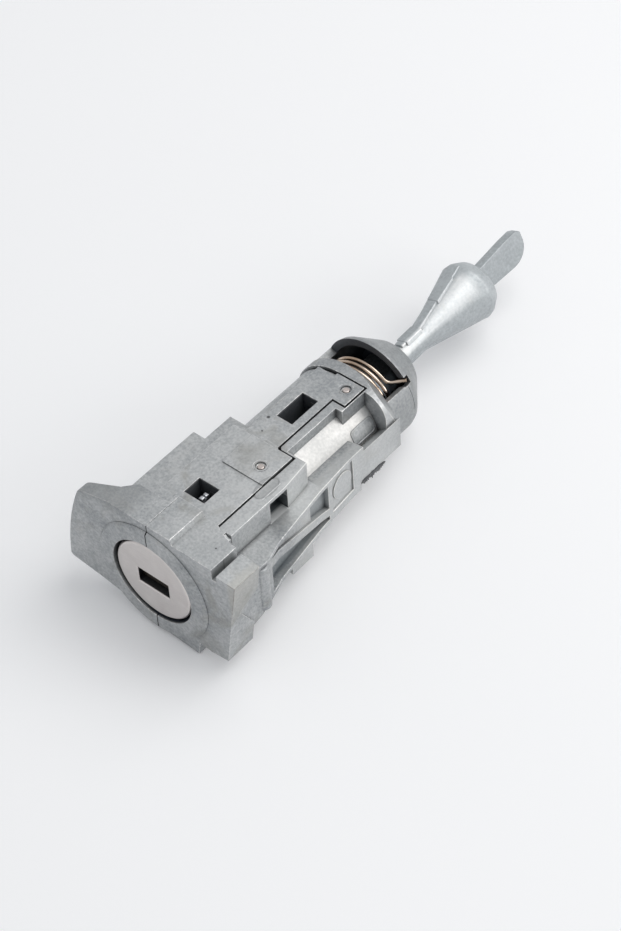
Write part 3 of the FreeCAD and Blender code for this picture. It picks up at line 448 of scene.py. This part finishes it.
class CastSkin(Finish):
    """Grey casting skin with soft clouds, fine grain, stains, pits, painted shade in its hollows and bright
    worn edges that are partly painted highlight.
    """

    def __init__(self, name, dark, light, edge_light, metal):
        super().__init__(name)
        self.metal = metal
        self.x, self.y, self.z = self.millimetres()
        self.edge_wear_and_highlight = self.attribute(EDGE_WEAR_AND_HIGHLIGHT)
        self.cloud = self.noise(scale=42, detail=3.0, rough=0.5, bend=0.5)
        self.mottle = self.noise(scale=330, detail=5.0, rough=0.62, bend=0.25)
        self.grain = self.noise(scale=1450, detail=3.0, rough=0.6)
        coarse = self.math("MULTIPLY_ADD", self.mottle, MOTTLE_SHARE, self.times(self.cloud, CLOUD_SHARE))
        self.tone = self.math("MULTIPLY_ADD", self.grain, GRAIN_SHARE, coarse)
        middle = tuple((a + b) / 2 for a, b in zip(dark, light))
        self.colour = self.shades(self.tone, [(0.4, dark), (0.5, middle), (0.6, light)])
        self.lay_stains_pits_and_painted_shade(dark)
        self.wear_edges(edge_light)
        waves = self.noise(scale=120, detail=3.0, rough=0.5)
        self.relief((waves, 0.05), (self.mottle, 0.03), (self.grain, 0.014))

    def tint(self, share, colour):
        """Lays a colour over what is there, where the share is above 0."""
        self.colour = self.mix(share, self.colour, colour)

    def lay_stains_pits_and_painted_shade(self, dark):
        """Warm stains in patches, fine pits where the mottling is light, and painted shade darkening the
        corners and hollows.
        """
        patches = self.noise(scale=85, detail=4.0, rough=0.62, bend=1.0)
        self.tint(self.range(patches, 0.54, 0.7, 0.0, 0.55), tuple(c * t for c, t in zip(dark, STAIN_TINT)))
        pits = self.range(self.cells(scale=420), 0.04, 0.1, 0.6, 0.0)
        self.tint(self.times(pits, self.rising(self.mottle, 0.56, 0.64)), PIT_GREY)
        # Painted shade: ambient occlusion darkens the corners and hollows.
        self.tint(self.range(self.openness(reach=1.5 * MM), 0.33, 0.89, 0.9, 0.0), HOLLOW_PAINTED_SHADE)

    def wear_edges(self, edge_light):
        """Bare metal shows on the rounded edges where they are rubbed, and is smoother there; the lighter edge
        colour is partly a painted highlight.
        """
        patches = self.range(self.noise(scale=130, detail=3.0, rough=0.6), 0.41, 0.59, 0.16, 1.0)
        rubbed = self.times(patches, self.range(self.grain, 0.4, 0.58, 0.3, 1.0))
        wear = self.times(self.edge_wear_and_highlight, rubbed)
        # Wear and painted highlight: the rounded edges are lightened.
        self.tint(wear, edge_light)
        self.rough = self.math("MULTIPLY_ADD", wear, -0.12, self.range(self.tone, 0.4, 0.6, 0.5, 0.42))

    def axis_distance(self):
        """Distance from the lock's turning axis."""
        return self.math("SQRT", self.math("MULTIPLY_ADD", self.x, self.x, self.times(self.z, self.z)))


def along_bore(skin, front, middle, rear):
    """A number for each of the bore's three stretches, changing softly between them."""
    change = skin.range(skin.y, *BORE_REAR_START, 0.0, rear - middle)
    return skin.plus(change, skin.range(skin.y, *BORE_FRONT_END, front, middle))


def bore_mask(skin):
    """1 on the walls of the housing's bores, where painted shade darkens them, and 0 on the outside."""
    into_cone = skin.larger(skin.minus(skin.y, CUP_CONE_START), 0.0)
    radius = skin.math("MULTIPLY_ADD", into_cone, CUP_CONE_SLOPE, skin.axis_distance())
    from_edge = skin.minus(radius, along_bore(skin, *BORE_EDGE))
    inside = skin.falling(skin.math("DIVIDE", from_edge, along_bore(skin, *BORE_SOFTNESS)), -1.0, 1.0)
    # Less painted shade on the inner left corner, where light falls in through the notch
    lit_corner = skin.times(skin.range(skin.x, -9, -1, 0.92, 0.0), skin.falling(skin.y, 82, 86))
    between_ends = skin.times(skin.falling(skin.y, 88.2, 88.6), skin.rising(skin.y, -0.1, 0.2))
    bore = skin.times(between_ends, skin.minus(inside, lit_corner))
    end_wall = skin.times(skin.math("GREATER_THAN", skin.y, CUP_END_WALL[0]),
                          skin.math("LESS_THAN", skin.y, CUP_END_WALL[1]))
    upper_end_wall = skin.times(end_wall, skin.range(skin.z, -1, 1, 0.0, 0.82))
    return skin.larger(bore, upper_end_wall)


def window_mask(skin):
    """1 on the walls of the two windows in the top plate, from a little below its face, where painted shade
    darkens them.
    """
    walls = 0.0
    for half_width, start, end, top in WINDOWS:
        opening = skin.times(skin.math("LESS_THAN", skin.math("ABSOLUTE", skin.x), half_width),
                             skin.math("GREATER_THAN", skin.y, start),
                             skin.math("LESS_THAN", skin.y, end),
                             skin.range(skin.z, top - 0.75, top - 0.15, 0.84, 0.0))
        walls = skin.larger(walls, opening)
    return walls


def barrel_reflection_mask(skin):
    """1 on the barrel where the side recess shows it, where a brighter painted reflection goes."""
    from_skin = skin.math("ABSOLUTE", skin.minus(skin.axis_distance(), BARREL_SKIN))
    on_barrel = skin.math("LESS_THAN", from_skin, BARREL_SKIN_DEPTH)
    along_recess = skin.times(skin.rising(skin.y, 40, 42), skin.falling(skin.y, 67, 69))
    return skin.times(on_barrel, along_recess, skin.rising(skin.x, 6, 8))


def rail_pocket_mask(skin):
    """1 on the floors of the two pockets in the rail's side, a little behind its slanted face."""
    face = skin.math("MULTIPLY_ADD", skin.minus(RAIL_FACE_Y, skin.y), RAIL_FACE_SLOPE, RAIL_FACE_X)
    behind_face = skin.rising(skin.minus(face, skin.x), 0.3, 0.7)
    return skin.times(behind_face, skin.within(skin.x, 15.2, 18.4), skin.within(skin.y, 20.0, 46.0),
                      skin.within(skin.z, -9.0, 6.5))


def strip_pocket_masks(skin):
    """The floor and the end wall of the pocket in the strip's side, for its painted light and painted shade."""
    floor = skin.times(skin.within(skin.z, 7.2, 7.5), skin.within(skin.y, 26.0, 32.3),
                       skin.rising(skin.x, 12.6, 13.4), skin.falling(skin.x, 15.0, 15.3))
    end_wall = skin.times(skin.within(skin.z, 7.0, 11.2), skin.within(skin.y, 26.0, 32.6),
                          skin.falling(skin.x, 14.6, 14.9), skin.rising(skin.x, 10.9, 11.1))
    return floor, end_wall


def top_oval(skin, centre, half, lowest):
    """Distance from a mark's centre in its own half sizes, for a mark on the top; large elsewhere."""
    across = skin.math("DIVIDE", skin.minus(skin.x, centre[0]), half[0])
    along = skin.math("DIVIDE", skin.minus(skin.y, centre[1]), half[1])
    away = skin.math("SQRT", skin.math("MULTIPLY_ADD", across, across, skin.times(along, along)))
    return skin.plus(away, skin.range(skin.z, lowest - 0.2, lowest, 9.0, 0.0))


def rail_tones(skin):
    """Painted light makes the rail lighter than the rest, with painted highlights on its edges. Less of it
    shows on the cup.
    """
    on_rail = skin.times(skin.rising(skin.x, 13.2, 14.4), skin.rising(skin.y, 26, 34))
    rail = skin.times(on_rail, skin.range(skin.y, 70, 78, 0.45, 0.15))
    skin.tint(rail, PAINTED_LIGHT_GREY)
    skin.tint(skin.times(rail, 1.3, skin.edge_wear_and_highlight), RAIL_EDGE_PAINTED_HIGHLIGHT)


def pocket_tones(skin):
    """Painted shade on the floors of the rail's pockets, and a painted pool of light on the strip pocket's
    floor with painted shade on its end wall.
    """
    skin.tint(skin.times(rail_pocket_mask(skin), 0.5), POCKET_PAINTED_SHADE)
    floor, end_wall = strip_pocket_masks(skin)
    skin.tint(skin.times(end_wall, 0.75), POCKET_WALL_PAINTED_SHADE)
    skin.tint(skin.times(floor, 0.9), POCKET_FLOOR_PAINTED_LIGHT)


def plate_tones(skin):
    """Painted light makes the right of the top plates a little lighter, and painted shade makes the flange's
    left wing and the cup darker.
    """
    right_part = skin.times(skin.rising(skin.x, 1, 8), skin.falling(skin.y, 60, 64))
    plates = skin.times(skin.range(skin.z, 13.5, 14.5, 0.0, 0.16), right_part)
    skin.tint(plates, PAINTED_LIGHT_GREY)
    wing = skin.times(skin.rising(skin.z, 16.5, 18.5), skin.range(skin.x, -8, -4, 0.5, 0.0))
    cup = skin.range(skin.y, 68, 76, 0.0, 0.36)
    skin.tint(skin.larger(wing, cup), PAINTED_SHADE_GREY)


def cream_end(skin):
    """The flange's right end has a cream film in soft patches, dark along its edges."""
    film = skin.times(skin.range(skin.x, 24.3, 25.2, 0.0, 0.6), skin.range(skin.cloud, 0.4, 0.6, 0.4, 1.0))
    skin.tint(film, CREAM)
    skin.tint(skin.times(film, skin.edge_wear_and_highlight), CREAM_EDGE_DARK)


def top_plate_marks(skin):
    """The shade on and round the ejector's land, and a few deep pits."""
    land = top_oval(skin, *EJECTOR_LAND)
    ring = skin.times(skin.rising(land, 0.84, 0.95), skin.falling(land, 0.95, 1.06))
    skin.tint(skin.larger(skin.times(ring, 0.55), skin.range(land, 0.9, 1.06, 0.28, 0.0)), LAND_SHADE)
    for centre, size in CAST_PITS:
        pit = top_oval(skin, centre, (size, size), CAST_PITS_LOWEST)
        skin.tint(skin.range(pit, 0.55, 1.0, 0.85, 0.0), CAST_PIT_BLACK)


def housing_marks(skin):
    """What the housing shows on its bare skin, from the outside to the painted shade on the walls of its
    openings.
    """
    rail_tones(skin)
    pocket_tones(skin)
    plate_tones(skin)
    skin.tint(skin.attribute(JOINT_DIRT), JOINT_BLACK)
    # Painted reflection on the barrel in the side recess.
    skin.tint(skin.times(barrel_reflection_mask(skin), 0.85), skin.shades(skin.tone, BARREL_PAINTED_REFLECTION))
    cream_end(skin)
    top_plate_marks(skin)
    inside = skin.larger(bore_mask(skin), window_mask(skin))
    # Painted shade on the walls of the bores and windows.
    skin.tint(skin.times(inside, 0.94), BORE_PAINTED_SHADE)
    skin.metal = skin.range(inside, 0.0, 1.0, skin.metal, 0.3)


def tail_marks(skin):
    """Painted light and shade: only the smooth upper band of the rod and its cone keeps the bright skin, and
    the flanks, the rim and the blade get painted shade.
    """
    above = skin.minus(skin.z, skin.times(skin.minus(skin.y, ROD_ROOT_Y), ROD_RISE))
    turn = skin.math("ARCTAN2", skin.x, above)
    band = skin.times(skin.rising(turn, -0.16, 0.02), skin.falling(turn, 0.68, 1.0),
                      skin.falling(skin.y, 117.5, 119.5))
    skin.colour = skin.mix(band, skin.shades(skin.tone, ROD_FLANK_PAINTED_SHADE), skin.colour)


def driver_marks(skin):
    """The driver's right shoulder catches the light that falls in through the notch."""
    shoulder = skin.times(skin.rising(skin.x, 3.5, 5.5), skin.within(skin.y, 75.0, 84.0, soft=1.0))
    skin.tint(shoulder, DRIVER_SHOULDER_LIGHT)


def die_cast_zinc(name, dark, light, edge_light, metal=0.85, marks=None):
    """A casting skin, with the marks of one casting laid over it."""
    skin = CastSkin(name, dark, light, edge_light, metal)
    if marks:
        marks(skin)
    skin.set(colour=skin.colour, metal=skin.metal, rough=skin.rough)
    return skin.material


def satin_steel(name, dark, light, rough, scale=1.0):
    """Brushed steel with fine lines from side to side and soft stains."""
    f = Finish(name)
    lines = f.noise(scale=140 * scale, detail=5.0, rough=0.7, place=f.stretched((1.0, 30.0, 30.0)))
    stain = f.noise(scale=110 * scale, detail=4.0, rough=0.6, bend=0.5)
    tone = f.plus(f.times(lines, 0.45), f.times(stain, 0.55))
    f.set(colour=f.shades(tone, [(0.35, dark), (0.65, light)]), metal=0.95,
          rough=f.range(tone, 0.35, 0.65, rough + 0.06, rough - 0.04))
    f.relief((lines, 0.004), (stain, 0.02))
    return f.material


def spring_wire():
    """Drawn steel wire with a straw-coloured tint from its heat treatment."""
    f = Finish("spring_wire")
    drawn = f.noise(scale=900, detail=4.0, rough=0.6)
    tint = f.noise(scale=160, detail=3.0, rough=0.5, bend=0.4)
    f.set(colour=f.mix(f.rising(tint, 0.35, 0.65), (0.36, 0.255, 0.18), (0.66, 0.56, 0.47)),
          metal=1.0, rough=f.range(drawn, 0.3, 0.7, 0.1, 0.17))
    f.relief((drawn, 0.006))
    return f.material


def moulded_rubber():
    """Black rubber with fine grey dust."""
    f = Finish("moulded_rubber")
    dust = f.noise(scale=700, detail=5.0, rough=0.7)
    f.set(colour=f.shades(dust, [(0.4, (0.012, 0.012, 0.013)), (0.75, (0.045, 0.045, 0.046))]),
          rough=f.range(dust, 0.3, 0.7, 0.55, 0.75))
    f.relief((dust, 0.01))
    return f.material


FINISHES = {
    "cast_zinc": die_cast_zinc("cast_zinc_skin", (0.305, 0.32, 0.332), (0.515, 0.525, 0.528),
                               (0.72, 0.72, 0.71), metal=0.7, marks=housing_marks),
    "tail_zinc": die_cast_zinc("tail_zinc_skin", (0.66, 0.69, 0.705), (0.80, 0.815, 0.82),
                               (0.88, 0.88, 0.88), metal=0.4, marks=tail_marks),
    "driver_zinc": die_cast_zinc("driver_zinc_skin", *GREASED_AND_SHADED_ZINC, metal=0.6, marks=driver_marks),
    "plug_zinc": die_cast_zinc("plug_zinc_skin", *GREASED_AND_SHADED_ZINC),
    # The casting flash is painted near black: painted shade.
    "flash": die_cast_zinc("flash_painted_shade_skin", (0.05, 0.052, 0.055), (0.16, 0.165, 0.17), (0.3, 0.3, 0.3)),
    "cap_steel": satin_steel("cap_satin", (0.60, 0.565, 0.55), (0.71, 0.675, 0.655), 0.34),
    "rivet_steel": satin_steel("rivet_satin", (0.50, 0.44, 0.41), (0.66, 0.60, 0.57), 0.3, scale=4.0),
    "shutter_steel": satin_steel("shutter_satin", (0.05, 0.045, 0.04), (0.10, 0.085, 0.07), 0.4, scale=2.0),
    "pin_steel": satin_steel("pin_ground", (0.35, 0.35, 0.35), (0.5, 0.5, 0.5), 0.25, scale=3.0),
    "sleeve_steel": satin_steel("sleeve_phosphated", (0.018, 0.02, 0.024), (0.04, 0.044, 0.05), 0.5, scale=2.0),
    "catch_brass": satin_steel("catch_nickelled", (0.34, 0.35, 0.37), (0.56, 0.57, 0.59), 0.35, scale=5.0),
    "wafer_brass": satin_steel("wafer_rolled_brass", (0.50, 0.36, 0.16), (0.66, 0.50, 0.25), 0.3, scale=4.0),
    "spring_steel": spring_wire(),
    "seal_rubber": moulded_rubber(),
}

HOUSING = frame["nodes"]["housing_right"]["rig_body"]
SLOTS = {part["node"]: part["material_slot"] for part in frame["record"]["subparts"]}
RECORD_SLOTS = {"flash": "cast_zinc", "driver_zinc": SLOTS["driver"]}


def finished(shape, name, finish, body):
    """Turns a bmesh into a shaded piece that rides on a body."""
    for face in shape.faces:
        face.smooth = True
    for edge in shape.edges:
        edge.smooth = len(edge.link_faces) == 2 and edge.calc_face_angle() < SMOOTH_ANGLE
    piece = bpy.data.objects.new(name, bpy.data.meshes.new(name))
    shape.to_mesh(piece.data)
    shape.free()
    bpy.context.scene.collection.objects.link(piece)
    piece.data.materials.append(FINISHES[finish])
    even = piece.modifiers.new("even shading", "WEIGHTED_NORMAL")
    even.weight = 100
    even.keep_sharp = True
    if body:
        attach(piece, body)
    RECORD_SLOTS.get(finish, finish)
    return piece


def bevelled(shape, parts, width, segments, affect="EDGES", slide=False):
    """Rounds edges or corners, and returns the new faces."""
    made = bmesh.ops.bevel(shape, geom=parts, offset=width, offset_type="OFFSET", segments=segments,
                           profile=0.5, affect=affect, material=-1, loop_slide=slide)
    return made["faces"]


def joint_edges(edges, other):
    """Ends of the edges whose face looks across a narrow gap at the other housing half."""
    facing = BVHTree.FromPolygons([v.co for v in other.vertices], [p.vertices for p in other.polygons])
    found = []
    for edge in edges:
        middle = (edge.verts[0].co + edge.verts[1].co) / 2
        for face, beside in (edge.link_faces, reversed(edge.link_faces)):
            start = middle + face.normal * JOINT_LIFT - beside.normal * JOINT_STEP_BACK
            if facing.ray_cast(start, face.normal, JOINT_GAP)[0]:
                found.append((edge.verts[0].co.copy(), edge.verts[1].co.copy()))
                break
    return found


def near_joint(place, joints):
    """True beside one of the lines where the two housing halves meet."""
    for start, end in joints:
        nearest, share = intersect_point_line(place, start, end)
        if -JOINT_OVERRUN < share < 1 + JOINT_OVERRUN and (nearest - place).length < JOINT_WIDTH:
            return True
    return False


def round_outward_edges(shape, width, other):
    """The rounded strips carry edge wear with a painted highlight, or dirt where they lie in the joint with the
    other half.
    """
    worn = shape.faces.layers.float[EDGE_WEAR_AND_HIGHLIGHT]
    dirty = shape.faces.layers.float[JOINT_DIRT]
    sharp = [e for e in shape.edges
             if len(e.link_faces) == 2 and e.is_convex and e.calc_face_angle() > ROUNDED_ANGLE]
    joints = joint_edges(sharp, frame["nodes"][other].data) if other else []
    for face in bevelled(shape, sharp, width, segments=2, slide=True):
        centre = face.calc_center_median()
        front_seam = bool(other) and abs(centre.x) < width and centre.y < FRONT_SEAM_DEPTH
        in_joint = front_seam or near_joint(centre, joints)
        face[worn] = float(not in_joint)
        face[dirty] = float(in_joint)


def soft_edged_copy(node, name, finish, width, other=None, rides=True):
    """A copy of a CAD node that stands for it, with its outward edges rounded by a width in millimetres."""
    source = frame["nodes"][node]
    shape = bmesh.new()
    shape.from_mesh(source.data)
    bmesh.ops.remove_doubles(shape, verts=shape.verts, dist=SAME_PLACE)
    bmesh.ops.dissolve_limit(shape, angle_limit=FLAT_ANGLE, verts=shape.verts, edges=shape.edges)
    for mark in (EDGE_WEAR_AND_HIGHLIGHT, JOINT_DIRT):
        shape.faces.layers.float.new(mark)
    if width:
        round_outward_edges(shape, width * MM, other)
    bmesh.ops.triangulate(shape, faces=[f for f in shape.faces if len(f.verts) > 4])
    piece = finished(shape, name, finish, source["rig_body"] if rides else None)
    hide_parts(node)
    return piece


def move(shape, x, y, z):
    """Moves a whole shape by millimetres."""
    bmesh.ops.translate(shape, vec=(x * MM, y * MM, z * MM), verts=shape.verts)


def step_inward(shape, face, width, rise):
    """Leaves a rim of a width round a face and raises what is inside it, in millimetres."""
    bmesh.ops.inset_region(shape, faces=[face], thickness=width * MM, depth=rise * MM,
                           use_boundary=True, use_even_offset=True)


def rounded_patch(half_width, half_length, corner, rims):
    """A flat plate with round corners. Its top steps by each rim of (width, rise), and its edge goes down."""
    shape = bmesh.new()
    bmesh.ops.create_grid(shape, x_segments=1, y_segments=1, size=1.0)
    bmesh.ops.scale(shape, vec=(half_width * MM, half_length * MM, 1.0), verts=shape.verts)
    bevelled(shape, shape.verts[:], corner * MM, segments=5, affect="VERTICES")
    top = max(shape.faces, key=lambda face: face.calc_area())
    outer = [e for e in shape.edges if e.is_boundary]
    for width, rise in rims:
        step_inward(shape, top, width, rise)
    skirt = bmesh.ops.extrude_edge_only(shape, edges=outer)["geom"]
    bmesh.ops.translate(shape, vec=(0, 0, -PATCH_SKIRT * MM),
                        verts=[v for v in skirt if isinstance(v, bmesh.types.BMVert)])
    return shape


def wrap_on_barrel(shape, radius, angle, y):
    """Bends a flat plate round the Y axis, centred at an angle in degrees from the top toward +X."""
    reach = max(v.co.x for v in shape.verts)
    for step in range(1 - BEND_STEPS, BEND_STEPS):
        bmesh.ops.bisect_plane(shape, geom=shape.verts[:] + shape.edges[:] + shape.faces[:],
                               plane_co=(reach * step / BEND_STEPS, 0, 0), plane_no=(1, 0, 0), dist=SAME_PLACE)
    for v in shape.verts:
        turn = math.radians(angle) + v.co.x / radius
        high = radius + v.co.z
        v.co = Vector((high * math.sin(turn), y + v.co.y, high * math.cos(turn)))
    bmesh.ops.recalc_face_normals(shape, faces=shape.faces)


def barrel_pad():
    """Bare pad with a raised frame, low on the barrel in front of the collar."""
    shape = rounded_patch(2.35, 4.0, 1.2, [(0.1, 0.12), (0.4, 0.0), (0.1, -0.12)])
    wrap_on_barrel(shape, (BARREL_RADIUS + PAD_LIFT) * MM, PAD_ANGLE, PAD_Y * MM)
    finished(shape, "barrel_pad", "cast_zinc", HOUSING)


def ejector_mark():
    """Faint round land left by an ejector pin on the strip beside the seam."""
    shape = rounded_patch(1.3, 3.9, 1.2, [(0.12, 0.08), (0.3, 0.0), (0.12, -0.07)])
    move(shape, 12.1, 29.0, STRIP_TOP)
    finished(shape, "ejector_mark", "cast_zinc", HOUSING)


def rivet_rims():
    """Rim swaged in round each rivet, which leaves only a narrow well beside its head."""
    for name, (x, y, top) in RIVETS.items():
        shape = bmesh.new()
        bmesh.ops.create_circle(shape, cap_ends=True, segments=40, radius=RIVET_RECESS_RADIUS * MM)
        face = next(iter(shape.faces))
        step_inward(shape, face, RIM_WIDTH, 0.0)
        step_inward(shape, face, WELL_WALL, -WELL_DEPTH)
        bmesh.ops.delete(shape, geom=[face], context="FACES_ONLY")
        move(shape, x, y, top + RIM_LIFT)
        finished(shape, name, "cast_zinc", HOUSING)


def flange_column():
    """Half-round corner behind the right end of the flange."""
    shape = bmesh.new()
    bmesh.ops.create_cone(shape, cap_ends=True, segments=40, radius1=COLUMN_RADIUS * MM,
                          radius2=COLUMN_RADIUS * MM, depth=COLUMN_HEIGHT * MM)
    rims = [e for e in shape.edges if e.calc_face_angle() > ROUNDED_ANGLE]
    bevelled(shape, rims, COLUMN_ROUNDING * MM, segments=3)
    move(shape, 20.6, 15.2, -0.8)
    finished(shape, "flange_column", "cast_zinc", HOUSING)


def casting_flash():
    """Thin ragged fin left under the rear of the rail, where the mould's halves met."""
    shape = bmesh.new()
    bmesh.ops.create_grid(shape, x_segments=44, y_segments=1, size=0.5)
    for v in shape.verts:
        along = v.co.x
        waves = 0.3 * math.sin(31 * along) * math.sin(53 * along + 1.0)
        ragged = 0.45 + waves + 0.25 * math.sin(117 * along + 0.6)
        reach = 0.4 + 0.6 * ragged if v.co.y > 0 else -max(0.25, 1.7 * ragged)
        thinned = 1 - (2 * along) ** 6
        v.co = Vector((FLASH_X, FLASH_MIDDLE_Y + FLASH_LENGTH * along, FLASH_TOP + reach * thinned)) * MM
    sheet = bmesh.ops.extrude_face_region(shape, geom=shape.faces[:])["geom"]
    bmesh.ops.translate(shape, vec=(FLASH_THICK * MM, 0, 0),
                        verts=[v for v in sheet if isinstance(v, bmesh.types.BMVert)])
    bmesh.ops.recalc_face_normals(shape, faces=shape.faces)
    finished(shape, "casting_flash", "flash", HOUSING)


def strip_root():
    """Sloped web in the gap between the flange's pad and the start of the strip."""
    shape = bmesh.new()
    bmesh.ops.create_cube(shape, size=1.0)
    bmesh.ops.scale(shape, vec=[size * MM for size in ROOT_SIZE], verts=shape.verts)
    for v in shape.verts:
        if v.co.z > 0 and v.co.x > 0:
            v.co.z -= ROOT_FALL * MM
    move(shape, 14.0, 11.8, 13.25)
    bevelled(shape, shape.edges[:], ROOT_ROUNDING * MM, segments=3)
    finished(shape, "strip_root", "cast_zinc", HOUSING)


def twisting_spring():
    """The return spring winds up between the driver, which holds its front end, and the housing."""
    coil = soft_edged_copy("return_spring", "return_spring_coil", "spring_steel", 0.0, rides=False)
    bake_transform(coil, "driver", "housing", start=(0, 71 * MM, 0), end=(0, 80.2 * MM, 0))


def pressed_springs():
    """Copies of the coupler spring and the eight wafer springs, each with a mesh of its own."""
    spring = soft_edged_copy("coupler_spring", "coupler_spring_coil", "spring_steel", 0.0)
    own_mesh(spring)
    for number in range(1, 9):
        node = "wafer_spring_%d" % number
        spring = soft_edged_copy(node, node + "_coil", "spring_steel", 0.0)
        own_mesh(spring)


def dress_cad_nodes():
    """Gives each CAD node the finish of its slot in the record."""
    for node, holder in frame["nodes"].items():
        finish = FINISHES[SLOTS[node]]
        if not holder.material_slots:
            holder.data.materials.append(finish)
        for slot in holder.material_slots:
            slot.material = finish


place_camera()
light_the_studio()
lay_floor()
dress_cad_nodes()
soft_edged_copy("housing_left", "left_housing_half", "cast_zinc", 0.16, other="housing_right")
soft_edged_copy("housing_right", "right_housing_half", "cast_zinc", 0.16, other="housing_left")
soft_edged_copy("tail_rod", "tail_rod_skin", "tail_zinc", 0.3)
soft_edged_copy("face_cap", "face_cap_satin", "cap_steel", 0.1)
soft_edged_copy("driver", "driver_skin", "driver_zinc", 0.15)
soft_edged_copy("sleeve_catch", "sleeve_catch_skin", "catch_brass", 0.0)
soft_edged_copy("housing_rivets", "rivet_heads", "rivet_steel", 0.0)
twisting_spring()
pressed_springs()
barrel_pad()
ejector_mark()
rivet_rims()
flange_column()
casting_flash()
strip_root()
